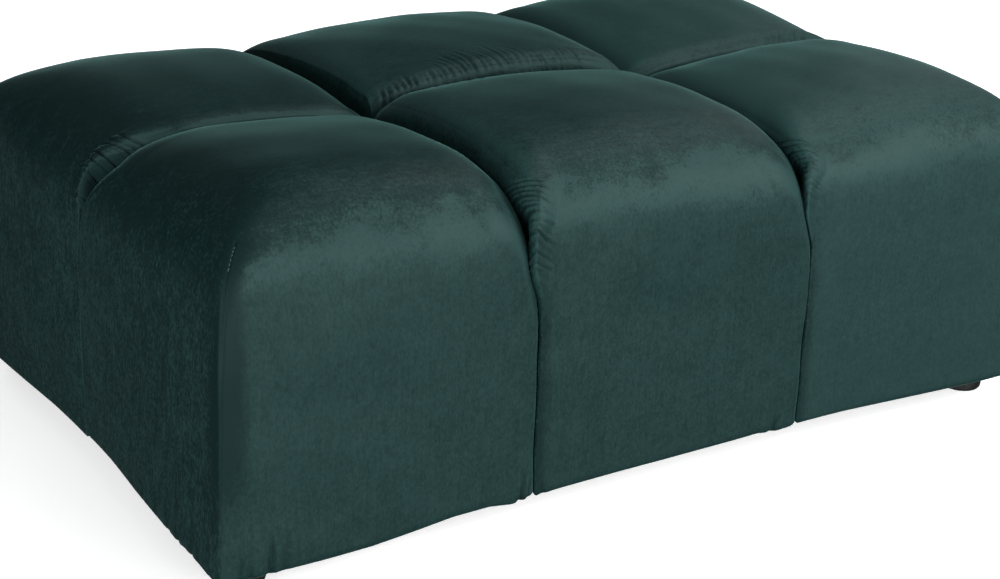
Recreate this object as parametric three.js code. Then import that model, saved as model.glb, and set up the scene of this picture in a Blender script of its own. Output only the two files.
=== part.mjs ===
// A velvet footstool: six filled blocks, three along the front and two deep, on four round feet.
// The origin is on the floor under the middle of the footstool. X runs along the front, Z is up,
// and the front faces -Y. All sizes are in millimetres.
import * as THREE from 'three';
import { mergeVertices } from 'three/addons/utils/BufferGeometryUtils.js';

const { clamp, lerp, smoothstep } = THREE.MathUtils;

// Layout of the blocks
const PITCH = 330;
const COLUMNS = 3;
const ROWS = 2;
const HALF = PITCH / 2;
const GAP = 0.3;

// Height of a block from its underside to the middle of its top, and the fall from there
// towards its sides, before the edges are rounded
const BLOCK_HEIGHT = 340;
const CROWN_FALL = 32;
const CROWN_POWER = 4;

// Each side of a block meets either its neighbour, in a sewn channel, or the outside.
// upright: radius of the upright edge low down
// reach: how far in from the side the top edge is rounded
// drop: how far down from the top that rounding comes
const SIDES = {
  channel: { upright: 18, reach: 80, drop: 65 },
  end: { upright: 3, reach: 115, drop: 115 },
  front: { upright: 3, reach: 115, drop: 115 },
  back: { upright: 3, reach: 150, drop: 70 },
};

// Radius of the upright edges low down where two channels cross, which closes the crossing
const CROSSING_UPRIGHT = 3;

// The upright edges open out from their low radius to the reach of the top edge between these heights
const OPENING_LOW = 167;
const OPENING_HIGH = 357;

// Fullness of the rounding: 2 is a round corner, and a larger number is a squarer one.
// A dart seam holds each free corner of the footstool to a crisp upright edge.
const FULLNESS = 2.6;
const SEAM_FULLNESS = 9;

// The free walls swell a little between their ends, and the free corners spread near the floor
const SWELL = 3;
const SPREAD = 13;
const SPREAD_HEIGHT = 250;
const WALL_POWER = 4;

// The cloth turns under at the bottom
const TURN_UNDER = 12;
const TURN_POWER = 6;

// Each block is filled by hand, so its top is a little higher, tilted or pushed over
const FILL_POWER = 3;
const LEAN_POWER = 2;
const BLOCKS = [
  { name: 'block_front_left', column: 0, row: 0, rise: 4, tiltX: -5, tiltY: -12, leanX: 3, leanY: 2 },
  { name: 'block_front_middle', column: 1, row: 0, rise: 7, tiltX: -11, tiltY: -2, leanX: 8, leanY: -4 },
  { name: 'block_front_right', column: 2, row: 0, rise: -2, tiltX: -1, tiltY: -4, leanX: -4, leanY: 2 },
  { name: 'block_back_left', column: 0, row: 1, rise: -3, tiltX: -1, tiltY: -10, leanX: 4, leanY: -3 },
  { name: 'block_back_middle', column: 1, row: 1, rise: 0, tiltX: 0, tiltY: -16, leanX: -9, leanY: 4 },
  { name: 'block_back_right', column: 2, row: 1, rise: -9, tiltX: 2, tiltY: 0, leanX: -2, leanY: 0 },
];

// Steps of the mesh across a block, up a block, and in the part of its height that turns under
const STEPS_ACROSS = 12;
const STEPS_UP = 11;
const STEPS_TURNED = 2;
const GATHER_ACROSS = 1.25;
const GATHER_UP = 1.35;

// Round plastic feet, one under each corner of the footstool
const FOOT_HEIGHT = 35;
const FOOT_RADIUS = 23;
const FOOT_SOLE_RADIUS = 20;
const FOOT_EDGE = 4;
const FOOT_INSET_END = 40;
const FOOT_INSET_FRONT = 52;
const FOOT_STEPS = 24;
const FOOT_EDGE_STEPS = 3;

const velvet = { color: 0x1f3a37, roughness: 0.85, metalness: 0 };
const blackPlastic = { color: 0x0c0c0d, roughness: 0.45, metalness: 0 };

// Moves the steps of an even row of points closer together towards its two ends
function gatherToEnds(t) {
  return Math.sign(t) * (1 - Math.pow(1 - Math.abs(t), GATHER_ACROSS));
}

// Height in a block for a fraction of its steps: first the turned-under edge, then the rest
function heightAtStep(fraction) {
  const turned = STEPS_TURNED / STEPS_UP;
  if (fraction <= turned) {
    return TURN_UNDER * (fraction / turned);
  }
  const upper = (fraction - turned) / (1 - turned);
  return lerp(TURN_UNDER, BLOCK_HEIGHT, 1 - Math.pow(1 - upper, GATHER_UP));
}

// What each of the four sides of a block meets
function sidesOf(block) {
  return {
    left: block.column === 0 ? 'end' : 'channel',
    right: block.column === COLUMNS - 1 ? 'end' : 'channel',
    front: block.row === 0 ? 'front' : 'channel',
    back: block.row === ROWS - 1 ? 'back' : 'channel',
  };
}

// 0 at a channel and 1 at a free corner, along a wall that ends at the two given sides
function towardsFreeCorner(t, lowSide, highSide) {
  const low = lowSide === 'channel' ? 0 : smoothstep((1 - t) / 2, 0, 1);
  const high = highSide === 'channel' ? 0 : smoothstep((1 + t) / 2, 0, 1);
  return Math.max(low, high);
}

// How far a point lies into the rounding of a side, from 0 where it starts to 1 at the wall
function intoRounding(distance, reach) {
  return clamp((distance - (HALF - reach)) / reach, 0, 1);
}

// Length of two sides together: fullness 2 is the plain one, and more is nearer to the longer side
function combine(a, b, fullness) {
  return (a ** fullness + b ** fullness) ** (1 / fullness);
}

// Takes a point of a cube's surface, from -1 to 1 each way, to its place on a block
function blockPoint(cube, block) {
  const sides = sidesOf(block);
  const sideX = cube.x < 0 ? sides.left : sides.right;
  const sideY = cube.y < 0 ? sides.front : sides.back;
  const signX = Math.sign(cube.x);
  const signY = Math.sign(cube.y);
  const acrossX = Math.abs(gatherToEnds(cube.x)) * HALF;
  const acrossY = Math.abs(gatherToEnds(cube.y)) * HALF;
  const height = heightAtStep((cube.z + 1) / 2);

  // The box with its upright and top edges rounded
  const opened = smoothstep(height, OPENING_LOW, OPENING_HIGH);
  const crossing = sideX === 'channel' && sideY === 'channel';
  const reachX = lerp(crossing ? CROSSING_UPRIGHT : SIDES[sideX].upright, SIDES[sideX].reach, opened);
  const reachY = lerp(crossing ? CROSSING_UPRIGHT : SIDES[sideY].upright, SIDES[sideY].reach, opened);
  const intoX = intoRounding(acrossX, reachX);
  const intoY = intoRounding(acrossY, reachY);
  const share = intoX + intoY > 0 ? intoX / (intoX + intoY) : 0.5;
  const drop = lerp(SIDES[sideY].drop, SIDES[sideX].drop, share);
  const intoTop = clamp((height - (BLOCK_HEIGHT - drop)) / drop, 0, 1);
  const freeCorner = sideX !== 'channel' && sideY !== 'channel';
  const intoWalls = combine(intoX, intoY, freeCorner ? SEAM_FULLNESS : FULLNESS);
  const largest = Math.max(intoX, intoY, intoTop);
  const pull = largest > 0 ? largest / combine(intoWalls, intoTop, FULLNESS) : 1;
  let x = intoX > 0 ? HALF - reachX + intoX * pull * reachX : acrossX;
  let y = intoY > 0 ? HALF - reachY + intoY * pull * reachY : acrossY;
  let z = intoTop > 0 ? BLOCK_HEIGHT - drop + intoTop * pull * drop : height;
  x *= signX;
  y *= signY;

  // The crown: the top falls away from its middle
  const level = z / BLOCK_HEIGHT;
  const fromMiddle = ((x / HALF) ** 2 + (y / HALF) ** 2) / 2;
  z -= CROWN_FALL * fromMiddle * level ** CROWN_POWER;

  // The free walls swell, and the free corners spread near the floor
  const low = clamp(1 - z / SPREAD_HEIGHT, 0, 1);
  const swell = SWELL * Math.sin(Math.PI * clamp(z / BLOCK_HEIGHT, 0, 1));
  const alongX = towardsFreeCorner(x / HALF, sides.left, sides.right);
  const alongY = towardsFreeCorner(y / HALF, sides.front, sides.back);
  const wallX = sideX === 'channel' ? 0 : (Math.abs(x) / HALF) ** WALL_POWER;
  const wallY = sideY === 'channel' ? 0 : (Math.abs(y) / HALF) ** WALL_POWER;
  const spreadX = wallX * (SPREAD * low * alongY + swell * (1 - (y / HALF) ** 2));
  const spreadY = wallY * (SPREAD * low * alongX + swell * (1 - (x / HALF) ** 2));

  // The bottom edge turns under in a quarter round
  const turned = clamp(1 - height / TURN_UNDER, 0, 1);
  const inset = TURN_UNDER * (1 - Math.sqrt(1 - turned ** 2));
  const insetX = inset * (Math.abs(x) / HALF) ** TURN_POWER;
  const insetY = inset * (Math.abs(y) / HALF) ** TURN_POWER;
  x += signX * (spreadX - insetX);
  y += signY * (spreadY - insetY);

  // The hand filling of this block
  const fill = clamp(z / BLOCK_HEIGHT, 0, 1);
  z += (block.rise + block.tiltX * (x / HALF) + block.tiltY * (y / HALF)) * fill ** FILL_POWER;
  x += block.leanX * fill ** LEAN_POWER;
  y += block.leanY * fill ** LEAN_POWER;

  // Neighbours press flat against each other in a channel
  const limit = HALF - GAP / 2;
  const lowX = sides.left === 'channel' ? -limit : -Infinity;
  const highX = sides.right === 'channel' ? limit : Infinity;
  const lowY = sides.front === 'channel' ? -limit : -Infinity;
  const highY = sides.back === 'channel' ? limit : Infinity;
  return new THREE.Vector3(clamp(x, lowX, highX), clamp(y, lowY, highY), z);
}

// A closed mesh without normals and texture coordinates, so that touching faces share their points
function closedGeometry(geometry) {
  geometry.deleteAttribute('normal');
  geometry.deleteAttribute('uv');
  return mergeVertices(geometry, 1e-4);
}

function makeBlock(block) {
  const box = new THREE.BoxGeometry(2, 2, 2, STEPS_ACROSS, STEPS_ACROSS, STEPS_UP);
  const geometry = closedGeometry(box);
  const points = geometry.getAttribute('position');
  const cube = new THREE.Vector3();
  for (let i = 0; i < points.count; i += 1) {
    cube.fromBufferAttribute(points, i);
    const place = blockPoint(cube, block);
    points.setXYZ(i, place.x, place.y, place.z);
  }
  geometry.computeVertexNormals();
  const mesh = new THREE.Mesh(geometry, new THREE.MeshStandardMaterial(velvet));
  mesh.name = block.name;
  mesh.position.x = (block.column - (COLUMNS - 1) / 2) * PITCH;
  mesh.position.y = (block.row - (ROWS - 1) / 2) * PITCH;
  mesh.position.z = FOOT_HEIGHT;
  return mesh;
}

// A foot's outline from the middle of its sole to the middle of its top
function footOutline() {
  const outline = [new THREE.Vector2(0, 0), new THREE.Vector2(FOOT_SOLE_RADIUS, 0)];
  for (let i = 1; i <= FOOT_EDGE_STEPS; i += 1) {
    const angle = (i / FOOT_EDGE_STEPS) * (Math.PI / 2);
    const radius = lerp(FOOT_SOLE_RADIUS, FOOT_RADIUS, Math.sin(angle));
    outline.push(new THREE.Vector2(radius, FOOT_EDGE * (1 - Math.cos(angle))));
  }
  outline.push(new THREE.Vector2(FOOT_RADIUS, FOOT_HEIGHT - GAP));
  outline.push(new THREE.Vector2(0, FOOT_HEIGHT - GAP));
  return outline;
}

function makeFoot(name, signX, signY) {
  const lathe = new THREE.LatheGeometry(footOutline(), FOOT_STEPS);
  lathe.rotateX(Math.PI / 2);
  const geometry = closedGeometry(lathe);
  geometry.computeVertexNormals();
  const mesh = new THREE.Mesh(geometry, new THREE.MeshStandardMaterial(blackPlastic));
  mesh.name = name;
  mesh.position.x = signX * ((COLUMNS * PITCH) / 2 - FOOT_INSET_END);
  mesh.position.y = signY * ((ROWS * PITCH) / 2 - FOOT_INSET_FRONT);
  return mesh;
}

const footstool = new THREE.Group();
for (const block of BLOCKS) {
  footstool.add(makeBlock(block));
}
for (const [rowName, signY] of [['front', -1], ['back', 1]]) {
  for (const [columnName, signX] of [['left', -1], ['right', 1]]) {
    footstool.add(makeFoot(`foot_${rowName}_${columnName}`, signX, signY));
  }
}

export default footstool;
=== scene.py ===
"""A low velvet footstool: six filled blocks, three along the front and two deep, on four round feet.

Everything is in metres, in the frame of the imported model: the origin is on the floor under the
middle of the footstool, X runs along the front, Z is up, and the front faces -Y.
"""

import logging
import math
from dataclasses import dataclass, field
from enum import Enum
from typing import Any

import bmesh
import bpy
import numpy as np
from mathutils import Matrix, Vector
from mathutils.bvhtree import BVHTree


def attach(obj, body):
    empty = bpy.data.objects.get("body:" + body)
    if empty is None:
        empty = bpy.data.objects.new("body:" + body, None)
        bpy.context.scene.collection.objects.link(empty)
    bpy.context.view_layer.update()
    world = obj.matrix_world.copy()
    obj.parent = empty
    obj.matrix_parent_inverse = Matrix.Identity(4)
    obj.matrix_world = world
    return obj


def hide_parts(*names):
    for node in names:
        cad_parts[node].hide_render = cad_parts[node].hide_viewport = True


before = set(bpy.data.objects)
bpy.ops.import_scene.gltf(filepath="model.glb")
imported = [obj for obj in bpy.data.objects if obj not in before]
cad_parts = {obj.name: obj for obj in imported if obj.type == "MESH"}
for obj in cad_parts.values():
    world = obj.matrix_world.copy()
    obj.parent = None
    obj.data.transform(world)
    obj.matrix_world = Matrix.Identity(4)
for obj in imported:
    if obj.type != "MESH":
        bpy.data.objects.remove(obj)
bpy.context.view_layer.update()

log = logging.getLogger("footstool")

BODY = "root"
PAINTED_LIGHT_WAY = (0.23, -0.87, 0.44)  # the way that the painted light comes from: cloth that faces it is painted lighter
FLAT = (0.55, 0.85)  # the upward part of a normal, from sloping cloth to flat cloth
AIM = (0, 0, 0.2)  # the place that the lights face
RIDGE_PLACE = 2.1  # how far the ridges of a fold lie from its middle, in widths of its valley
Array = np.ndarray
Colour = tuple[float, float, float, float]
Span = tuple[float, float]  # where a smooth step starts, and where it is done


# Plain functions on numbers and arrays


def clamp(value: Any, low: Any, high: Any) -> Any:
    """The value, or the nearer of the two limits where it lies outside them."""
    return np.minimum(np.maximum(value, low), high)


def lerp(low: Any, high: Any, share: Any) -> Any:
    """The value that lies at that share of the way from low to high."""
    return low + (high - low) * share


def smoothstep(value: Any, low: Any, high: Any) -> Any:
    """0 up to low, 1 from high, and a smooth turn between them."""
    share = clamp((value - low) / (high - low), 0, 1)
    return share * share * (3 - 2 * share)


def combine(a: Array, b: Array, fullness: Any) -> Array:
    """The length of two sides together: fullness 2 is the plain one, more is nearer the longer side."""
    return (a ** fullness + b ** fullness) ** (1 / fullness)


def rolling(points: Array, length: float, seed: int, waves: int = 9) -> Array:
    """Soft hills and hollows, the same on every run.

    Args:
        points: places in metres, one row each.
        length: the usual distance from one hill to the next.
        seed: picks the directions and places of the waves.
        waves: how many waves are laid over each other.

    Returns:
        A height for each place, about -1 to 1.
    """
    draw = np.random.default_rng(seed)
    height = np.zeros(len(points))
    for _ in range(waves):
        direction = draw.normal(size=3)
        direction /= np.linalg.norm(direction)
        pace = 2 * math.pi / (length * draw.uniform(0.7, 1.5))
        height += np.sin(points @ direction * pace + draw.uniform(0, 2 * math.pi))
    return height / math.sqrt(waves)


def fold(off: Array, ridge_share: float) -> Array:
    """The section of a pleat or crease: a narrow valley between two soft ridges.

    Args:
        off: how far each point lies to the side of the fold, in widths of its valley.
        ridge_share: how high the ridges stand, as a share of the valley's depth.

    Returns:
        A height for each point, about -1 at the bottom of the valley.
    """
    valley = np.exp(-off ** 2)
    ridge = np.exp(-(np.abs(off) - RIDGE_PLACE) ** 2)
    return ridge_share * ridge - valley


# Meshes and objects


def cut_cube(steps: int) -> bmesh.types.BMesh:
    """A cube from -1 to 1 each way, cut into so many steps along each edge."""
    bm = bmesh.new()
    bmesh.ops.create_cube(bm, size=2)
    bmesh.ops.subdivide_edges(bm, edges=bm.edges[:], cuts=steps - 1, use_grid_fill=True)
    return bm


def as_mesh(bm: bmesh.types.BMesh, name: str) -> bpy.types.Mesh:
    """Keeps an edited mesh under that name, and frees the edit."""
    mesh = bpy.data.meshes.new(name)
    bm.to_mesh(mesh)
    bm.free()
    return mesh


def in_scene(name: str, data: Any) -> bpy.types.Object:
    """A new object in the scene, unturned at the origin."""
    made = bpy.data.objects.new(name, data)
    bpy.context.scene.collection.objects.link(made)
    return made


def triples(data: Any, name: str) -> Array:
    """One property of three numbers for all of a mesh's points, a row each."""
    found = np.empty(len(data) * 3, np.float32)
    data.foreach_get(name, found)
    return found.reshape(-1, 3).astype(float)


def move_points(mesh: bpy.types.Mesh, places: Array) -> None:
    """Puts the points of a mesh at those places."""
    mesh.vertices.foreach_set("co", places.astype(np.float32).ravel())
    mesh.update()


# Shader nodes


class Level:
    """A number that a shader works out, for use in Python expressions."""

    def __init__(self, desk: "NodeDesk", socket: bpy.types.NodeSocket) -> None:
        """Wraps one output socket of the desk's node tree."""
        self.desk = desk
        self.socket = socket

    def __add__(self, other: Any) -> "Level":
        """The sum."""
        return self.desk.maths("ADD", self, other)

    def __radd__(self, other: Any) -> "Level":
        """The sum, with the number first."""
        return self.desk.maths("ADD", other, self)

    def __sub__(self, other: Any) -> "Level":
        """The difference."""
        return self.desk.maths("SUBTRACT", self, other)

    def __rsub__(self, other: Any) -> "Level":
        """The difference, with the number first."""
        return self.desk.maths("SUBTRACT", other, self)

    def __mul__(self, other: Any) -> "Level":
        """The product."""
        return self.desk.maths("MULTIPLY", self, other)

    def __rmul__(self, other: Any) -> "Level":
        """The product, with the number first."""
        return self.desk.maths("MULTIPLY", other, self)

    def swing(self, amount: float) -> "Level":
        """How far this level is from one half, times the amount."""
        return (self - 0.5) * amount

    def within(self, low: float, high: float) -> "Level":
        """A smooth 0 to 1 as this level goes from low to high."""
        settings = {"interpolation_type": "SMOOTHSTEP"}
        inputs = {"Value": self, "From Min": low, "From Max": high}
        node = self.desk.add("ShaderNodeMapRange", settings, inputs)
        return Level(self.desk, node.outputs["Result"])


class NodeDesk:
    """The node tree of one new material or surround, with the ways to add to it."""

    def __init__(self, owner: Any, shader: str = "Principled BSDF") -> None:
        """Takes up the nodes of a new material or world, and the shader on its output."""
        owner.use_nodes = True
        self.owner = owner
        self.tree = owner.node_tree
        self.shader = self.tree.nodes[shader]

    def add(
        self, kind: str, settings: dict[str, Any] | None = None, inputs: dict[Any, Any] | None = None
    ) -> Any:
        """Adds one node.

        Args:
            kind: the node's type.
            settings: its own settings, set first. Stops of a colour ramp go under "stops".
            inputs: values, sockets or levels for its input sockets, by name or number.

        Returns:
            The new node.
        """
        node = self.tree.nodes.new(kind)
        for name, value in (settings or {}).items():
            if name == "stops":
                self._set_stops(node.color_ramp, value)
            else:
                setattr(node, name, value)
        for name, value in (inputs or {}).items():
            self.plug(node, name, value)
        return node

    def plug(self, node: bpy.types.Node, name: Any, value: Any) -> None:
        """Gives one input socket of a node its value or its link."""
        if isinstance(value, Level):
            value = value.socket
        if isinstance(value, bpy.types.NodeSocket):
            self.tree.links.new(value, node.inputs[name])
        else:
            node.inputs[name].default_value = value

    def finish(self, values: dict[str, Any]) -> Any:
        """Gives the shader its values and links, and returns the material or world."""
        for name, value in values.items():
            self.plug(self.shader, name, value)
        return self.owner

    def maths(self, operation: str, first: Any, second: Any) -> Level:
        """Adds a Math node on two numbers or levels."""
        node = self.add("ShaderNodeMath", {"operation": operation}, {0: first, 1: second})
        return Level(self, node.outputs["Value"])

    def noise(self, scale: tuple[float, float, float], detail: float, turn: float = 0) -> Level:
        """Cloudy noise on Object coordinates.

        Args:
            scale: how many hills of the noise come to the metre, along each axis.
            detail: how many finer noises are laid over it.
            turn: how far the pattern is turned about the upright axis, in radians.

        Returns:
            The noise, from 0 to 1.
        """
        found = self.add("ShaderNodeTexCoord").outputs["Object"]
        inputs = {"Vector": found, "Rotation": (0, 0, turn), "Scale": scale}
        place = self.add("ShaderNodeMapping", {"vector_type": "POINT"}, inputs).outputs["Vector"]
        inputs = {"Vector": place, "Scale": 1.0, "Detail": detail, "Roughness": 0.6}
        node = self.add("ShaderNodeTexNoise", {"noise_dimensions": "3D"}, inputs)
        return Level(self, node.outputs["Fac"])

    def attribute(self, name: str) -> Level:
        """A number that the piece's mesh holds at each point."""
        node = self.add("ShaderNodeAttribute", {"attribute_name": name})
        return Level(self, node.outputs["Fac"])

    def mix(self, share: Any, first: Any, second: Any) -> bpy.types.NodeSocket:
        """A mix of two colours, the first at a share of 0 and the second at 1."""
        settings = {"data_type": "RGBA", "blend_type": "MIX"}
        return self.add("ShaderNodeMix", settings, {"Factor": share, 6: first, 7: second}).outputs[2]

    def bump(self, height: Level, strength: float, distance: float, under: Any = None) -> Any:
        """Adds a Bump node.

        Args:
            height: the heights.
            strength: how strongly they show.
            distance: how far a height of 1 stands out, in metres.
            under: another bump that this one lies on, if any.

        Returns:
            The socket with the bumped normals.
        """
        inputs = {"Height": height, "Strength": strength, "Distance": distance}
        if under is not None:
            inputs["Normal"] = under
        return self.add("ShaderNodeBump", None, inputs).outputs["Normal"]

    @staticmethod
    def _set_stops(ramp: bpy.types.ColorRamp, stops: list[tuple[float, Colour]]) -> None:
        """Gives a colour ramp its stops."""
        while len(ramp.elements) < len(stops):
            ramp.elements.new(0.5)
        for element, (position, colour) in zip(ramp.elements, stops):
            element.position = position
            element.color = colour


@dataclass(frozen=True)
class Velvet:
    """Short dark green pile, with painted light and painted shade in its colour, and lighter where it is seen
    at a slant.

    A lit copy of the colour goes where the cloth faces the way of the painted light, and a shaded copy
    elsewhere. Each is mixed from a dark end and a pale end, and level is the share of the pale end on plain
    cloth. The gains and losses say how much the share rises with painted light and a painted highlight band,
    and falls with painted shade on the tops and in the folds.
    """

    lit_copy_dark: Colour = (0.0034, 0.0110, 0.0108, 1)
    lit_copy_pale: Colour = (0.0140, 0.0340, 0.0330, 1)
    shaded_copy_dark: Colour = (0.0028, 0.0110, 0.0108, 1)
    shaded_copy_pale: Colour = (0.0116, 0.0340, 0.0330, 1)
    gloss_tint: Colour = (0.70, 1.0, 0.93, 1)
    sheen_tint: Colour = (0.45, 1.0, 0.94, 1)
    sheen: float = 0.165
    sheen_roughness: float = 0.20
    roughness: float = 0.50
    specular: float = 0.085
    streak_scale: float = 330
    streak_run: float = 22
    patch_scale: float = 11
    blotch_scale: float = 60
    fleck_scale: float = 190
    grain_scale: float = 400
    pile_scale: float = 1300
    brushed_turn: float = 0.35
    level: float = 0.37
    facing_painted_light: float = 0.10
    band_painted_highlight: float = 0.32
    top_painted_shade: float = 0.13
    fold_painted_shade: float = 0.25

    def material(self) -> bpy.types.Material:
        """Builds the finish, which reads four attributes of the mesh: "upward", one for how far the cloth
        faces the painted light, one for the painted shade and painted light on it, and "ruffled".
        """
        desk = NodeDesk(bpy.data.materials.new("velvet_pile"))
        upward = desk.attribute("upward")
        towards_painted_light = desk.attribute("painted_light")
        painted_shading = desk.attribute("painted_shading")
        ruffled = desk.attribute("ruffled")

        # The walls are brushed up and down, and the tops along the front
        turn = self.brushed_turn
        wall_streaks = desk.noise((self.streak_scale, self.streak_scale, self.streak_run), 3)
        top_streaks = desk.noise((self.streak_run * 2, self.streak_scale * 0.7, self.streak_scale), 3, turn)
        flat_share = upward.within(*FLAT)
        streaks = wall_streaks * (1 - flat_share) + top_streaks * flat_share
        patches = desk.noise((self.patch_scale, self.patch_scale, self.patch_scale * 0.8), 5)
        blotches = desk.noise((self.blotch_scale * 0.6, self.blotch_scale, self.blotch_scale * 0.8), 4, turn)
        grain = desk.noise((self.grain_scale, self.grain_scale, self.grain_scale * 0.6), 3)
        flecks = desk.noise((self.fleck_scale * 0.8, self.fleck_scale, self.fleck_scale * 0.7), 3, turn)
        pile = desk.noise((self.pile_scale, self.pile_scale, self.pile_scale * 0.5), 2)

        # Painted light: the colour is lighter where the cloth faces the way of the painted light, made ragged
        # by the patches and grain, with a painted highlight band on the sloping cloth that faces it most and
        # painted shade on the tops
        edge = towards_painted_light + patches.swing(0.16) + blotches.swing(0.14) + grain.swing(0.10)
        lit = edge.within(0.90, 0.98)
        band = lit * upward.within(0.10, 0.40)
        top = edge.within(0.25, 0.45) * (1 - lit) * upward.within(0.4, 0.7)
        facing = edge.within(-0.75, 1.0) * self.facing_painted_light
        painted_light = self.level + facing + band * self.band_painted_highlight - top * self.top_painted_shade
        uneven = patches.swing(0.36) + blotches.swing(0.46) + streaks.swing(0.50)
        fine = flecks.swing(0.55) + grain.swing(1.20)
        # Painted shade and painted light from the mesh: darker in the folds and on shaded shoulders, lighter
        # on rims and on some fronts and tops
        pile_and_painted_light = painted_light + (uneven + fine) * ruffled + pile.swing(0.30) - painted_shading * self.fold_painted_shade
        share = pile_and_painted_light.within(0, 1)
        # A lit copy of the colour where the cloth faces the painted light and a shaded copy elsewhere, each
        # from its dark to its pale end
        lit_copy = desk.mix(share, self.lit_copy_dark, self.lit_copy_pale)
        shaded_copy = desk.mix(share, self.shaded_copy_dark, self.shaded_copy_pale)
        colour = desk.mix(towards_painted_light.within(0.50, 0.85), shaded_copy, lit_copy)

        brushed = desk.bump(streaks, 0.20, 0.0006)
        return desk.finish({
            "Base Color": colour,
            "Roughness": self.roughness + pile.swing(0.12),
            "Normal": desk.bump(pile, 0.28, 0.0005, brushed),
            "Specular IOR Level": self.specular,
            "Specular Tint": self.gloss_tint,
            "Sheen Weight": self.sheen,
            "Sheen Roughness": self.sheen_roughness,
            "Sheen Tint": self.sheen_tint,
        })


@dataclass(frozen=True)
class Thread:
    """Sewing thread in the velvet's colour, twisted and a little glossy."""

    dark: Colour = (0.016, 0.040, 0.038, 1)
    light: Colour = (0.030, 0.064, 0.061, 1)
    twist_scale: float = 2600

    def material(self) -> bpy.types.Material:
        """Builds the finish."""
        desk = NodeDesk(bpy.data.materials.new("sewing_thread"))
        twist = desk.noise((self.twist_scale,) * 3, 1)
        colour = desk.mix(twist.within(0.3, 0.7), self.dark, self.light)
        normal = desk.bump(twist, 0.4, 0.0002)
        return desk.finish({"Base Color": colour, "Roughness": 0.5, "Normal": normal})


@dataclass(frozen=True)
class MouldedPlastic:
    """Black moulded plastic with a fine grain, lightly scuffed."""

    dark: Colour = (0.0035, 0.0035, 0.0038, 1)
    scuffed: Colour = (0.0130, 0.0130, 0.0135, 1)
    grain_scale: float = 1500
    scuff_scale: float = 90

    def material(self) -> bpy.types.Material:
        """Builds the finish."""
        desk = NodeDesk(bpy.data.materials.new("moulded_plastic"))
        grain = desk.noise((self.grain_scale,) * 3, 2)
        scuffs = desk.noise((self.scuff_scale, self.scuff_scale, self.scuff_scale * 3), 6)
        worn = scuffs.within(0.55, 0.75)
        colour = desk.mix(worn, self.dark, self.scuffed)
        roughness = 0.36 + worn * 0.22 + grain.swing(0.10)
        normal = desk.bump(grain, 0.12, 0.0003)
        return desk.finish({"Base Color": colour, "Roughness": roughness, "Normal": normal})


@dataclass(frozen=True)
class PaleFloor:
    """Plain pale studio floor."""

    light: Colour = (0.90, 0.90, 0.90, 1)
    worn: Colour = (0.86, 0.86, 0.86, 1)
    glow: float = 0.65

    def material(self) -> bpy.types.Material:
        """Builds the finish."""
        desk = NodeDesk(bpy.data.materials.new("studio_floor"))
        colour = desk.mix(desk.noise((2, 2, 2), 3).within(0.3, 0.7), self.worn, self.light)
        return desk.finish({
            "Base Color": colour,
            "Roughness": 0.9,
            "Specular IOR Level": 0.1,
            "Emission Color": self.light,
            "Emission Strength": self.glow,
        })


# The shape of a block


class Meets(Enum):
    """What one side of a block meets."""

    SOFT = "channel, soft side"
    SNUG = "channel, snug side"
    STEEP = "channel, steep side"
    TUCKED = "channel, tucked side"
    END = "end"
    FRONT = "front"
    BACK = "back"

    @property
    def sewn(self) -> bool:
        """Whether a channel is sewn along the side."""
        return self in (Meets.SOFT, Meets.SNUG) or self.steep

    @property
    def steep(self) -> bool:
        """Whether the top edge falls steeply, over its seam."""
        return self in (Meets.STEEP, Meets.TUCKED)


class Side(Enum):
    """A side of a block, as its axis and direction."""

    LEFT = (0, -1)
    RIGHT = (0, 1)
    FRONT = (1, -1)
    BACK = (1, 1)


@dataclass(frozen=True)
class Rounding:
    """How the edges at one side are rounded.

    upright is the radius of the upright edge low down, reach how far in from the side the top
    edge is rounded, drop how far down from the top that rounding comes, and opens the height
    where the upright edge starts to widen.
    """

    upright: float
    reach: float
    drop: float
    opens: float = 0.167


@dataclass(frozen=True)
class HandFilling:
    """How one block's top stands: a little higher, tilted, or pushed over.

    overhang is how far the top edge stands over the seam at the steep side of a channel.
    """

    rise: float = 0
    tilt_x: float = 0
    tilt_y: float = 0
    lean_x: float = 0
    lean_y: float = 0
    overhang: float = 0


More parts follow.
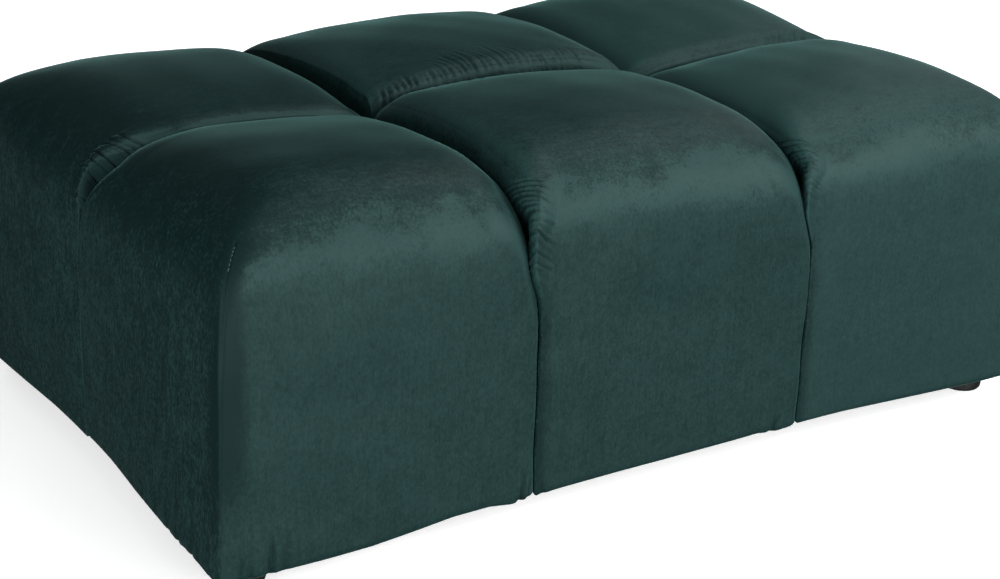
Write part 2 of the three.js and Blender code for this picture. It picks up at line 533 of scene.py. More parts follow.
@dataclass(frozen=True)
class BlockForm:
    """The sizes that all six blocks share, and the shape that follows from them.

    over_edge, over_end and over_front say where the cloth stands over a steep seam: along the top
    edge, and lower down at its front end.
    """

    pitch: float = 0.330
    columns: int = 3
    rows: int = 2
    gap: float = 0.0003
    base: float = 0.035
    height: float = 0.340
    crown_fall: float = 0.032
    crown_power: float = 4
    crossing_upright: float = 0.003
    opening_high: float = 0.357
    fullness: float = 2.6
    seam_fullness: float = 9
    steep_fullness: float = 7
    swell: float = 0.003
    spread: float = 0.013
    spread_height: float = 0.250
    wall_power: float = 4
    turn_under: float = 0.012
    turn_power: float = 6
    turned_share: float = 0.13
    fill_power: float = 3
    lean_power: float = 2
    gather_across: float = 1.25
    gather_up: float = 1.35
    over_edge: Span = (0.260, 0.305)
    over_end: Span = (0.195, 0.245)
    over_front: Span = (0.82, 0.97)
    roundings: dict[Meets, Rounding] = field(default_factory=lambda: {
        Meets.SOFT: Rounding(upright=0.018, reach=0.080, drop=0.065),
        Meets.SNUG: Rounding(upright=0.010, reach=0.080, drop=0.065, opens=0.225),
        Meets.STEEP: Rounding(upright=0.011, reach=0.046, drop=0.046, opens=0.262),
        Meets.TUCKED: Rounding(upright=0.007, reach=0.025, drop=0.030, opens=0.280),
        Meets.END: Rounding(upright=0.003, reach=0.115, drop=0.115),
        Meets.FRONT: Rounding(upright=0.003, reach=0.115, drop=0.115),
        Meets.BACK: Rounding(upright=0.003, reach=0.150, drop=0.070),
    })

    @property
    def half(self) -> float:
        """Half of a block's width."""
        return self.pitch / 2

    def centre(self, column: int, row: int) -> Array:
        """The middle of a block's underside, in the row frame."""
        across = (column - (self.columns - 1) / 2) * self.pitch
        along = (row - (self.rows - 1) / 2) * self.pitch
        return np.array([across, along, self.base])

    def sides(self, column: int, row: int) -> dict[Side, Meets]:
        """What each of the four sides of a block meets."""
        return {
            Side.LEFT: Meets.END if column == 0 else Meets.STEEP,
            Side.RIGHT: Meets.END if column == self.columns - 1 else Meets.SOFT,
            Side.FRONT: Meets.FRONT if row == 0 else Meets.TUCKED,
            Side.BACK: Meets.BACK if row == self.rows - 1 else Meets.SNUG,
        }

    def _gathered(self, t: Array) -> Array:
        """Steps from -1 to 1, moved closer together towards the two ends."""
        return np.sign(t) * (1 - (1 - np.abs(t)) ** self.gather_across)

    def _height_at(self, share: Array) -> Array:
        """The height for a share of the steps: first the turned-under edge, then the rest."""
        turned = self.turn_under * share / self.turned_share
        upper = clamp((share - self.turned_share) / (1 - self.turned_share), 0, 1)
        rest = lerp(self.turn_under, self.height, 1 - (1 - upper) ** self.gather_up)
        return np.where(share <= self.turned_share, turned, rest)

    @staticmethod
    def _at_side(towards_high: Array, sides: dict[Side, Any], name: str) -> Array:
        """One value of the side that each point lies towards, along X and along Y.

        Args:
            towards_high: whether each point lies towards the high side, along X and along Y.
            sides: what holds the value at each side.
            name: the value's name.

        Returns:
            The values, one row of two for each point.
        """
        low = [getattr(sides[side], name) for side in (Side.LEFT, Side.FRONT)]
        high = [getattr(sides[side], name) for side in (Side.RIGHT, Side.BACK)]
        return np.where(towards_high, high, low)

    def _towards_free_corner(self, t: Array, low: Meets, high: Meets) -> Array:
        """0 at a channel and 1 at a free corner, along a wall that ends at the two given sides."""
        at_low = np.zeros_like(t) if low.sewn else smoothstep((1 - t) / 2, 0, 1)
        at_high = np.zeros_like(t) if high.sewn else smoothstep((1 + t) / 2, 0, 1)
        return np.maximum(at_low, at_high)

    def place(self, cube: Array, sides: dict[Side, Meets], filling: HandFilling) -> Array:
        """Takes points of a cube's surface, from -1 to 1 each way, to their places on a block.

        Args:
            cube: the points, one row each.
            sides: what each side of the block meets.
            filling: how this block's top stands.

        Returns:
            The places, from the middle of the block's underside.
        """
        half = self.half
        sign = np.sign(cube[:, :2])
        towards_high = cube[:, :2] >= 0
        rounded = {side: self.roundings[meets] for side, meets in sides.items()}
        across = np.abs(self._gathered(cube[:, :2])) * half
        height = self._height_at((cube[:, 2] + 1) / 2)
        sewn = self._at_side(towards_high, sides, "sewn")

        # The box with its upright and top edges rounded
        opened = smoothstep(height[:, None], self._at_side(towards_high, rounded, "opens"), self.opening_high)
        crossing = sewn.all(axis=1)
        upright = self._at_side(towards_high, rounded, "upright")
        upright = np.where(crossing[:, None], self.crossing_upright, upright)
        reach = lerp(upright, self._at_side(towards_high, rounded, "reach"), opened)
        into = clamp((across - (half - reach)) / reach, 0, 1)
        both = into.sum(axis=1)
        share = np.where(both > 0, into[:, 0] / np.maximum(both, 1e-9), 0.5)
        drop_x, drop_y = self._at_side(towards_high, rounded, "drop").T
        drop = lerp(drop_y, drop_x, share)
        into_top = clamp((height - (self.height - drop)) / drop, 0, 1)

        # A dart holds a free corner crisp up to its tip, and so does the steep side of a channel
        free_corner = ~sewn.any(axis=1)
        steep = self._at_side(towards_high, sides, "steep").any(axis=1)
        crisp = np.where(free_corner, self.seam_fullness, self.steep_fullness)
        held = lerp(self.fullness, crisp, smoothstep(into.max(axis=1), 0.1, 1.0))
        wall_fullness = np.where(free_corner | (steep & ~crossing), held, self.fullness)
        into_walls = combine(into[:, 0], into[:, 1], wall_fullness)
        largest = np.maximum(into.max(axis=1), into_top)
        together = combine(into_walls, into_top, self.fullness)
        pull = np.where(largest > 0, largest / np.maximum(together, 1e-9), 1)
        flat = np.where(into > 0, half - reach + into * pull[:, None] * reach, across) * sign
        z = np.where(into_top > 0, self.height - drop + into_top * pull * drop, height)

        # The crown: the top falls away from its middle
        from_middle = ((flat / half) ** 2).sum(axis=1) / 2
        z = z - self.crown_fall * from_middle * (z / self.height) ** self.crown_power

        # The free walls swell, and the free corners spread near the floor
        low = clamp(1 - z / self.spread_height, 0, 1)
        swell = self.swell * np.sin(math.pi * clamp(z / self.height, 0, 1))
        along_x = self._towards_free_corner(flat[:, 0] / half, sides[Side.LEFT], sides[Side.RIGHT])
        along_y = self._towards_free_corner(flat[:, 1] / half, sides[Side.FRONT], sides[Side.BACK])
        spread = (self.spread * low)[:, None] * np.stack([along_y, along_x], axis=1)
        swollen = swell[:, None] * (1 - (flat[:, ::-1] / half) ** 2)
        wall = np.where(sewn, 0, (np.abs(flat) / half) ** self.wall_power)

        # The bottom edge turns under in a quarter round
        turned = clamp(1 - height / self.turn_under, 0, 1)
        inset = self.turn_under * (1 - np.sqrt(1 - turned ** 2))
        tucked = inset[:, None] * (np.abs(flat) / half) ** self.turn_power
        flat = flat + sign * (wall * (spread + swollen) - tucked)

        # The hand filling of this block
        fill = clamp(z / self.height, 0, 1)
        lift = filling.rise + filling.tilt_x * (flat[:, 0] / half) + filling.tilt_y * (flat[:, 1] / half)
        z = z + lift * fill ** self.fill_power
        for axis, lean in enumerate((filling.lean_x, filling.lean_y)):
            flat[:, axis] += lean * fill ** self.lean_power * self._leaning_share(flat[:, axis], lean)
        points = np.column_stack([flat, z])
        over = self._overhang(points, filling)
        for side, meets in sides.items():
            if meets.steep:
                axis, _ = side.value
                points[:, axis] -= over * smoothstep(-points[:, axis] / half, 0.3, 1.0)
        return self.pressed(points, sides, filling)

    def _overhang(self, points: Array, filling: HandFilling) -> Array:
        """How far each point may stand over a steep seam: at the top edge, and lower at its front end."""
        x, y, z = points.T
        front_end = smoothstep(-np.maximum(x, y) / self.half, *self.over_front)
        lower = smoothstep(z, *self.over_end) * front_end
        return filling.overhang * np.maximum(smoothstep(z, *self.over_edge), lower)

    def _leaning_share(self, place: Array, lean: float) -> Array:
        """How far each point follows a lean: the side that it leaves stays with its seam."""
        return clamp(0.5 + math.copysign(0.75, lean) * place / self.half, 0, 1)

    def pressed(self, points: Array, sides: dict[Side, Meets], filling: HandFilling) -> Array:
        """Keeps points on a block's own side of the channels that it shares.

        Args:
            points: the places, from the middle of the block's underside.
            sides: what each side of the block meets.
            filling: how this block's top stands.

        Returns:
            The places, moved back where they were past a channel.
        """
        kept = points.copy()
        for side, meets in sides.items():
            if meets.sewn:
                axis, direction = side.value
                over = self._overhang(points, filling) if meets.steep else 0
                limit = self.half - self.gap / 2 + over
                kept[:, axis] = direction * np.minimum(direction * kept[:, axis], limit)
        return kept


@dataclass(frozen=True)
class Gather:
    """A run of small pleats that a sewn channel draws into the cloth beside it.

    start and end lie along the channel: from the floor up a free wall and on across the top, or
    across the top from the block's low corner where both ends are channels. length is how far the
    pleats run out from the channel, and slant how far they lean along it for each unit of that.
    """

    side: Side
    start: float
    end: float
    pleats: int
    length: float
    depth: float
    slant: float = 0


@dataclass(frozen=True)
class Crease:
    """A short upright crease in a free wall.

    along is its place on the wall, from -1 to 1, low and high are the heights of its two ends
    above the underside, and slant is how far it leans along the wall for each unit of height.
    """

    side: Side
    along: float
    low: float
    high: float
    width: float
    depth: float
    slant: float = 0


@dataclass(frozen=True)
class Hem:
    """How far the bottom edge of one free wall hangs below the others, at places from -1 to 1."""

    side: Side
    along: tuple[float, ...] = (-1, 0, 1)
    drop: tuple[float, ...] = (0.003, 0.004, 0.003)


@dataclass
class FilledBlock:
    """One filled velvet block: its place, how it was filled, and what its seams do to the cloth.

    Some sizes say how much painted shade darkens the colour: how deep a fold must be for its full painted
    shade, and how much goes beside the dart, beside the left seams and on the shoulders above the left end
    wall. Others say how much painted light lightens it, on the shoulders and rims beside the channels and on
    the fronts, and one more darkens or lightens each top. dart_shade and seam_shade are the widths of two
    painted shade strips. The other sizes named shade say where the strip beside a dart lies and fades, and
    those named hem where the bottom edge hangs.
    """

    node: str
    column: int
    row: int
    form: BlockForm
    filling: HandFilling
    gathers: tuple[Gather, ...] = ()
    creases: tuple[Crease, ...] = ()
    hems: tuple[Hem, ...] = ()
    seed: int = 1
    cover_steps: int = 24
    halvings: int = 2
    smoothings: int = 10
    swelling: Array = field(default_factory=lambda: np.zeros((0, 3)))
    pleat_cuts: int = 2
    pleat_width: float = 0.24
    wrapped_share: float = 0.6
    ridge_share: float = 0.30
    roll_height: float = 0.0007
    roll_length: float = 0.085
    dart_depth: float = 0.0010
    dart_width: float = 0.0016
    dart_shade: float = 0.015
    painted_shoulder_light: float = 1.3
    painted_front_light: float = 0.0
    painted_rim_light: float = 2.2
    painted_dart_shade: float = 2.4
    painted_shoulder_shade: float = 1.0
    painted_seam_shade: float = 1.6
    seam_shade: float = 0.009
    painted_top_shading: float = 0.0
    clearance: float = 0.0014
    hem_height: float = 0.110
    hem_inset: float = 0.009
    lowest_hem: float = 0.012
    underside_inset: float = 0.016
    pleat_margin: float = 0.004
    seam_skin: float = 0.0004
    fold_shade_depth: float = 0.0012
    pleat_wrap: Span = (0.003, 0.015)
    pleat_sway: float = 0.3
    sway_length: float = 0.011
    crease_wall: Span = (0.010, 0.030)
    shade_offset: float = 0.004
    shade_end: Span = (0.004, 0.030)
    shade_foot: Span = (0.02, 0.16)
    shade_tip: Span = (0.26, 0.31)
    shoulder_high: Span = (0.16, 0.24)

    def __post_init__(self) -> None:
        """Works out what the block's sides meet, and where it stands."""
        self.sides = self.form.sides(self.column, self.row)
        self.centre = self.form.centre(self.column, self.row)

    @property
    def name(self) -> str:
        """The name of the finished piece."""
        return "velvet_" + self.node

    @property
    def free_corners(self) -> list[tuple[int, int]]:
        """The directions along X and Y of the upright corners that meet no channel."""
        corners = [(x, y) for x in (Side.LEFT, Side.RIGHT) for y in (Side.FRONT, Side.BACK)]
        free = [pair for pair in corners if not any(self.sides[side].sewn for side in pair)]
        return [(x.value[1], y.value[1]) for x, y in free]

    def build(self, finish: bpy.types.Material, neighbours: list[BVHTree]) -> bpy.types.Object:
        """Models the block and dresses it.

        Args:
            finish: the velvet.
            neighbours: the surfaces of the blocks that are there already.

        Returns:
            The finished piece, attached to the body.
        """
        bm = cut_cube(self.cover_steps)
        layer = bm.verts.layers.float_vector.new("pressed")
        for vertex, offset in zip(bm.verts, self.swelling):
            vertex[layer] = offset
        for _ in range(self.halvings):
            bmesh.ops.subdivide_edges(bm, edges=bm.edges[:], cuts=1, use_grid_fill=True)
        self._refine_pleats(bm)
        mesh = as_mesh(bm, self.name)
        self._shape(mesh, neighbours)
        mesh.materials.append(finish)
        piece = in_scene(self.name, mesh)
        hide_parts(self.node)
        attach(piece, BODY)
        return piece

    def plain_places(self, cube: Array) -> Array:
        """Where points of the cube lie on the block's plain shape."""
        return self.form.place(cube, self.sides, self.filling)

    def _refine_pleats(self, bm: bmesh.types.BMesh) -> None:
        """Cuts the faces finer where the gathers draw pleats into the cloth.

        Args:
            bm: the block, still in the shape of the cube.
        """
        if not self.gathers:
            return
        bm.verts.ensure_lookup_table()
        points = self.plain_places(np.array([v.co for v in bm.verts]))
        near = np.zeros(len(points), bool)
        for gather in self.gathers:
            out, along = self._beside(points, gather.side)
            low, high = gather.start - self.pleat_margin, gather.end + self.pleat_margin
            inside = (out < gather.length) & (np.abs(out) > self.seam_skin)
            near |= inside & (along > low) & (along < high)
        near &= points[:, 2] > self.form.turn_under
        edges = [e for e in bm.edges if near[e.verts[0].index] and near[e.verts[1].index]]
        if edges:
            bmesh.ops.subdivide_edges(bm, edges=edges, cuts=self.pleat_cuts, use_grid_fill=True)

    def _ends(self, side: Side) -> tuple[int, bool, bool]:
        """The axis that a side runs along, and whether its low and its high end meet a channel."""
        other = 1 - side.value[0]
        low, high = ((Side.LEFT, Side.RIGHT), (Side.FRONT, Side.BACK))[other]
        return other, self.sides[low].sewn, self.sides[high].sewn

    def _beside(self, points: Array, side: Side) -> tuple[Array, Array]:
        """How points lie beside a channel.

        Args:
            points: their places on the block.
            side: the channel's side.

        Returns:
            How far they lie out from the channel's plane, and where they lie along the channel.
        """
        axis, direction = side.value
        other, low_sewn, high_sewn = self._ends(side)
        out = self.form.half - direction * points[:, axis]
        if not high_sewn:
            along = points[:, 2] + self.form.half - points[:, other]
        elif not low_sewn:
            along = points[:, 2] + self.form.half + points[:, other]
        else:
            along = self.form.half + points[:, other]
        return out, along

    def _inside(self, points: Array, side: Side) -> Array:
        """How far points lie in from the free walls beside a channel's two ends."""
        other, low_sewn, high_sewn = self._ends(side)
        to_low = self.form.pitch if low_sewn else self.form.half + points[:, other]
        to_high = self.form.pitch if high_sewn else self.form.half - points[:, other]
        return np.minimum(to_low, to_high)

    def _shape(self, mesh: bpy.types.Mesh, neighbours: list[BVHTree]) -> None:
        """Moves the points of a finely cut cube to their places, with all that shows in the cloth.

        Args:
            mesh: the cube, which becomes the block.
            neighbours: the surfaces of the blocks that are there already.
        """
        cube = triples(mesh.vertices, "co")
        points = self.plain_places(cube)
        swollen = points + self._swollen(mesh)
        move_points(mesh, swollen)
        normals = triples(mesh.vertex_normals, "vector")

        pleats = self._pleats(points)
        darts = self._darts(cube)
        creases = self._creases(points)
        height = self._rolls(points) + pleats + darts + creases
        moved = swollen + normals * height[:, None]
        moved[:, 2] -= self._hem_drop(points)
        moved = self.form.pressed(moved, self.sides, self.filling)
        moved[:, 2] = np.maximum(moved[:, 2], self._floor(points))
        move_points(mesh, self._kept_clear(moved + self.centre, neighbours))

        # Painted shade in the valleys of the pleats, darts and creases and in the strip beside the dart, with
        # the painted light and painted shade of the shoulders, rims, fronts and tops added
        painted_shading = clamp(-(pleats + darts + creases) / self.fold_shade_depth, 0, 1)
        painted_shading = painted_shading + self.painted_dart_shade * self._shaded(points) + self._painted_light_and_shade(points, normals)
        shown = {
            "upward": normals[:, 2],
            "painted_light": normals @ np.array(PAINTED_LIGHT_WAY),
            "painted_shading": painted_shading,
            "ruffled": self._ruffled(normals),
        }
        for name, values in shown.items():
            kept = mesh.attributes.new(name, "FLOAT", "POINT")
            kept.data.foreach_set("value", values.astype(np.float32))
        mesh.shade_smooth()

    def _kept_clear(self, points: Array, neighbours: list[BVHTree]) -> Array:
        """Draws the cloth that stands over a seam back from the block on the other side.

        Args:
            points: the places of the block's points, in the frame of the model.
            neighbours: the surfaces of the blocks that are there already.

        Returns:
            The places, clear of the neighbours.
        """
        steep_sides = [side for side, meets in self.sides.items() if meets.steep]
        for side in steep_sides * 2:
            axis, direction = side.value
            seam = self.centre[axis] + direction * self.form.half
            over = direction * (points[:, axis] - seam)
            way = Vector([direction if number == axis else 0 for number in range(3)])
            for index in np.flatnonzero(over > 0):
                start = Vector(points[index])
                start[axis] = seam
                for surface in neighbours:
                    free = surface.ray_cast(start, way, over[index] + self.clearance)[3]
                    if free is not None:
                        over[index] = free - self.clearance
            points[:, axis] = seam + direction * over
        return points

    def _swollen(self, mesh: bpy.types.Mesh) -> Array:
        """How far the filling pressed each point of the cover, evened out over the finer mesh.

        Args:
            mesh: the block's mesh, with the offsets of the coarse cover in "pressed".

        Returns:
            An offset for each point.
        """
        offsets = triples(mesh.attributes["pressed"].data, "vector")
        if not offsets.any():
            return offsets
        ends = np.empty(len(mesh.edges) * 2, np.int32)
        mesh.edges.foreach_get("vertices", ends)
        first, second = ends.reshape(-1, 2).T
        both, other = np.concatenate([first, second]), np.concatenate([second, first])
        neighbours = np.bincount(both, minlength=len(offsets))[:, None]
        free = offsets.any(axis=1, keepdims=True)
        for _ in range(self.smoothings):
            sums = [np.bincount(both, offsets[other, axis], len(offsets)) for axis in range(3)]
            offsets = (offsets + np.stack(sums, axis=1) / neighbours) / 2 * free
        return offsets

    def _rolls(self, points: Array) -> Array:
        """Soft unevenness of the filling, none at the underside."""
        rise = smoothstep(points[:, 2], 0.0, 0.03)
        return self.roll_height * rolling(points, self.roll_length, self.seed) * rise

    def _pleats(self, points: Array) -> Array:
        """The heights that the gathers give the cloth: narrow valleys between soft ridges.

        Args:
            points: the places on the block's plain shape.

        Returns:
            A height for each point.
        """
        total = np.zeros(len(points))
        draw = np.random.default_rng(self.seed + 100)
        for gather in self.gathers:
            out, along = self._beside(points, gather.side)
            spacing = (gather.end - gather.start) / gather.pleats
            past_wall = smoothstep(self._inside(points, gather.side), *self.pleat_wrap)
            at_wall = lerp(self.wrapped_share, 1, past_wall)
            for index in range(gather.pleats):
                middle = gather.start + (index + 0.5 + draw.uniform(-0.28, 0.28)) * spacing
                run = gather.length * draw.uniform(0.45, 1.0)
                depth = gather.depth * draw.uniform(0.55, 1.15)
                width = spacing * self.pleat_width * draw.uniform(0.8, 1.3)
                lean = gather.slant * out + self.pleat_sway * spacing * np.sin(out / self.sway_length + index)
                fade = (1 - smoothstep(out, 0.15 * run, run)) * at_wall
                total += depth * fade * fold((along - middle - lean) / width, self.ridge_share)
        return total

    def _darts(self, cube: Array) -> Array:
        """A narrow groove along each free corner, from the floor up to the tip of its dart.

        Args:
            cube: the points, still on the cube.

        Returns:
            A height for each point, less than nothing in the grooves.
        """
        total = np.zeros(len(cube))
        half = self.form.half
        for end, face in self.free_corners:
            to_end = 1 - end * cube[:, 0]
            to_face = 1 - face * cube[:, 1]
            nearer = np.minimum(to_end, to_face)
            away = np.abs(to_end - to_face) ** self.form.gather_across * half + nearer * 0.25 * half
            top = 1 - clamp((cube[:, 2] - 0.9) / 0.1, 0, 1) * (nearer > 0)
            total -= self.dart_depth * np.exp(-(away / self.dart_width) ** 2) * top
        return total

    def _shaded(self, points: Array) -> Array:
        """How much painted shade darkens the end wall, in a strip beside each free corner.

        Args:
            points: the places on the block's plain shape.

        Returns:
            A share for each point, from 0 to 1.
        """
        total = np.zeros(len(points))
        half = self.form.half
        for end, face in self.free_corners:
            beside = half + self.form.spread / 2 - face * points[:, 1]
            on_end = 1 - smoothstep(half - end * points[:, 0], *self.shade_end)
            tall = smoothstep(points[:, 2], *self.shade_foot)
            tall = tall * (1 - smoothstep(points[:, 2], *self.shade_tip))
            total += np.exp(-((beside - self.shade_offset) / self.dart_shade) ** 2) * on_end * tall
        return clamp(total, 0, 1)

    @staticmethod
    def _ruffled(normals: Array) -> Array:
        """How unevenly the pile lies: least on the front and back walls, most on the end walls."""
        flat = smoothstep(normals[:, 2], *FLAT)
        endward = smoothstep(np.abs(normals[:, 0]), 0.45, 0.85)
        return 0.55 + 0.50 * flat + 1.00 * endward

    def _painted_light_and_shade(self, points: Array, normals: Array) -> Array:
        """Painted shade on the shoulders, walls and tops, with less than nothing where painted light goes.

        Painted shade darkens the shoulder above the left end wall and the front wall low down beside a left
        seam. Painted light lightens the shoulder high up beside a left channel, the rim beside a right
        channel and the front of some blocks, and each block's top is darkened or lightened by its own amount.

        Args:
            points: the places on the block's plain shape.
            normals: the directions that they face.

        Returns:
            An amount for each point.
        """
        leftward = -normals[:, 0]
        high = smoothstep(points[:, 2], *self.shoulder_high)
        # Painted shade on this block's top, and painted light where its amount is below nothing
        painted_amount = self.painted_top_shading * smoothstep(normals[:, 2], *FLAT)
        # Painted light on cloth that faces the front
        wall = 1.0 if self.sides[Side.FRONT].sewn else 1 - smoothstep(normals[:, 2], 0.2, 0.6)
        painted_amount -= self.painted_front_light * smoothstep(-normals[:, 1], 0.60, 0.90) * wall
        # Painted light on the rim beside a right channel
        if self.sides[Side.RIGHT].sewn:
            rim = self.painted_rim_light * smoothstep(-leftward, 0.10, 0.75)
            painted_amount -= rim * (1 - smoothstep(normals[:, 2], 0.5, 0.9))
        # Painted shade low on the front wall beside a left seam, and painted light on the shoulder high up
        # beside it
        if self.sides[Side.LEFT].sewn:
            beside = np.exp(-((self.form.half + points[:, 0]) / self.seam_shade) ** 2)
            painted_amount += self.painted_seam_shade * beside * smoothstep(-normals[:, 1], 0.3, 0.7) * (1 - high)
            return painted_amount - self.painted_shoulder_light * smoothstep(leftward, 0.10, 0.45) * high
        # Painted shade on the shoulder above the left end wall
        shoulder = smoothstep(normals[:, 2], 0.05, 0.35) * (1 - smoothstep(normals[:, 2], 0.92, 1.0))
        return painted_amount + self.painted_shoulder_shade * smoothstep(leftward, -0.02, 0.30) * shoulder

    def _creases(self, points: Array) -> Array:
        """The heights that the short creases give the cloth.

        Args:
            points: the places on the block's plain shape.

        Returns:
            A height for each point.
        """
        total = np.zeros(len(points))
        half = self.form.half
        for crease in self.creases:
            axis, direction = crease.side.value
            out = half - direction * points[:, axis]
            upward = points[:, 2] - crease.low
            off = (points[:, 1 - axis] - crease.along * half - crease.slant * upward) / crease.width
            length = crease.high - crease.low
            fade = smoothstep(upward, -0.1 * length, 0.2 * length)
            fade = fade * (1 - smoothstep(upward, 0.4 * length, length))
            on_wall = 1 - smoothstep(out, *self.crease_wall)
            total += crease.depth * fade * on_wall * fold(off, self.ridge_share)
        return total

    def _hem_drop(self, points: Array) -> Array:
        """How far each point hangs lower than a level bottom edge.

        Args:
            points: the places on the block's plain shape.

        Returns:
            A distance for each point.
        """
        total = np.zeros(len(points))
        half = self.form.half
        for hem in self.hems:
            axis, direction = hem.side.value
            out = np.maximum(half - direction * points[:, axis], 0)
            drop = np.interp(points[:, 1 - axis] / half, hem.along, hem.drop)
            fade = (1 - smoothstep(points[:, 2], 0, self.hem_height)) * np.exp(-(out / self.hem_inset) ** 2)
            total += drop * fade
        return total

    def _floor(self, points: Array) -> Array:
        """The lowest that each point may lie: the feet hold the underside up."""
        inside = (self.form.half - np.abs(points[:, :2])).min(axis=1)
        return np.where(inside > self.underside_inset, 0.0, -self.lowest_hem)


@dataclass(frozen=True)
class Filling:
    """The filling that presses the six velvet covers outwards, as a cloth simulation."""

    frames: int = 20
    pressure: float = 4.0
    stiffness: float = 40.0
    bending: float = 0.8
    mass: float = 0.3
    start_inside: float = 0.002
    most: float = 0.005
    kept_share: float = 0.35
    seam_width: float = 0.003

    def press(self, blocks: list[FilledBlock]) -> None:
        """Runs the simulation and keeps for each block how far its cover was pressed.

        Args:
            blocks: the blocks, which get their swelling.
        """
        covers = [self._cover(block) for block in blocks]
        scene = bpy.context.scene
        for frame_number in range(1, self.frames + 1):
            scene.frame_set(frame_number)
        graph = bpy.context.evaluated_depsgraph_get()
        for block, (cover, plain, start) in zip(blocks, covers):
            pressed = cover.evaluated_get(graph)
            moved = triples(pressed.to_mesh().vertices, "co") - start
            pressed.to_mesh_clear()
            length = np.linalg.norm(moved, axis=1)
            moved *= (np.minimum(length, self.most) / np.maximum(length, 1e-9))[:, None]
            block.swelling = (start + moved - plain) * self.kept_share
            log.info("%s: the filling moved its cover %.1f mm at most", block.node, 1000 * length.max())
        for cover, _, _ in covers:
            mesh = cover.data
            bpy.data.objects.remove(cover)
            bpy.data.meshes.remove(mesh)
        scene.frame_set(1)

    def _cover(self, block: FilledBlock) -> tuple[bpy.types.Object, Array, Array]:
        """Makes one block's cover, a little smaller than the block.

        Args:
            block: the block.

        Returns:
            The cover with its cloth settings, the block's plain places, and the places it starts from.
        """
        mesh = as_mesh(cut_cube(block.cover_steps), "cover_" + block.node)
        cube = triples(mesh.vertices, "co")
        plain = block.plain_places(cube)
        move_points(mesh, plain)
        held = self._held(block, cube, plain)
        start = plain - triples(mesh.vertex_normals, "vector") * (self.start_inside * ~held)[:, None]
        move_points(mesh, start)
        cover = in_scene("cover_" + block.node, mesh)
        sewn = cover.vertex_groups.new(name="sewn")
        sewn.add([int(index) for index in np.flatnonzero(held)], 1.0, "REPLACE")
        cloth = cover.modifiers.new("cloth", "CLOTH")
        cloth.point_cache.frame_start = 1
        cloth.point_cache.frame_end = self.frames
        cloth.collision_settings.use_collision = False
        settings = cloth.settings
        settings.mass = self.mass
        settings.tension_stiffness = self.stiffness
        settings.compression_stiffness = self.stiffness
        settings.shear_stiffness = self.stiffness / 3
        settings.bending_stiffness = self.bending
        settings.use_pressure = True
        settings.uniform_pressure_force = self.pressure
        settings.effector_weights.gravity = 0
        settings.vertex_group_mass = "sewn"
        return cover, plain, start

    def _held(self, block: FilledBlock, cube: Array, plain: Array) -> Array:
        """Which points of a cover the seams and the underside hold in place.

        Args:
            block: the block.
            cube: the points, still on the cube.
            plain: their places on the block's plain shape.

        Returns:
            Whether each point is held.
        """
        held = plain[:, 2] < block.form.turn_under + self.seam_width
        for side, meets in block.sides.items():
            axis, direction = side.value
            if meets.sewn:
                held |= direction * plain[:, axis] > block.form.half - self.seam_width
        for end, face in block.free_corners:
            on_corner = end * cube[:, 0] + face * cube[:, 1] > 2 - 1e-4
            held |= on_corner & (cube[:, 2] < 0.95)
        return held


@dataclass
class DartStitches:
    """The few stitches that show at the top end of the dart on the near corner."""

    block: FilledBlock
    low: float = 0.66
    high: float = 0.92
    stitches: int = 6
    thickness: float = 0.0006
    length_share: float = 0.74

    def build(self, finish: bpy.types.Material) -> bpy.types.Object:
        """Sews the stitches along the block's free corner.

        Args:
            finish: the thread.

        Returns:
            One piece with all the stitches.
        """
        heights = np.linspace(self.low, self.high, self.stitches + 1)
        corner = np.stack([-np.ones_like(heights), -np.ones_like(heights), heights], axis=1)
        places = self.block.plain_places(corner) + self.block.centre
        bm = bmesh.new()
        for start, end in zip(places[:-1], places[1:]):
            along = Vector(end - start)
            middle = Vector((start + end) / 2)
            turn = along.to_track_quat("Z", "Y").to_matrix().to_4x4()
            size = Matrix.Diagonal((self.thickness, self.thickness, along.length * self.length_share / 2, 1))
            bmesh.ops.create_uvsphere(
                bm, u_segments=10, v_segments=8, radius=1, matrix=Matrix.Translation(middle) @ turn @ size
            )
        mesh = as_mesh(bm, "dart_stitches")
        mesh.shade_smooth()
        mesh.materials.append(finish)
        piece = in_scene("dart_stitches", mesh)
        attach(piece, BODY)
        return piece


@dataclass
class Feet:
    """The four round feet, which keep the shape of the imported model."""

    nodes: tuple[str, ...] = ("foot_front_left", "foot_front_right", "foot_back_left", "foot_back_right")

    def dress(self, finish: bpy.types.Material) -> None:
        """Gives every foot its finish."""
        for node in self.nodes:
            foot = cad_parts[node]
            for slot in foot.material_slots:
                slot.material = finish
            log.info("%s keeps its shape and gets its finish", node)


@dataclass(frozen=True)
class SoftLight:
    """One square soft light that faces the middle of the footstool.

    size is the length of its sides, power is in watts, and gloss says whether it shows in the
    gloss of the cloth.
    """

    name: str
    place: tuple[float, float, float]
    size: float
    power: float
    gloss: bool = True

    def build(self) -> None:
        """Hangs the light and turns it."""
        lamp = bpy.data.lights.new(self.name, "AREA")
        lamp.size = self.size
        lamp.energy = self.power
        light = in_scene(self.name, lamp)
        light.visible_glossy = self.gloss
        aim = Vector(AIM) - Vector(self.place)
        turn = aim.to_track_quat("-Z", "Y").to_matrix().to_4x4()
        light.matrix_world = Matrix.Translation(self.place) @ turn


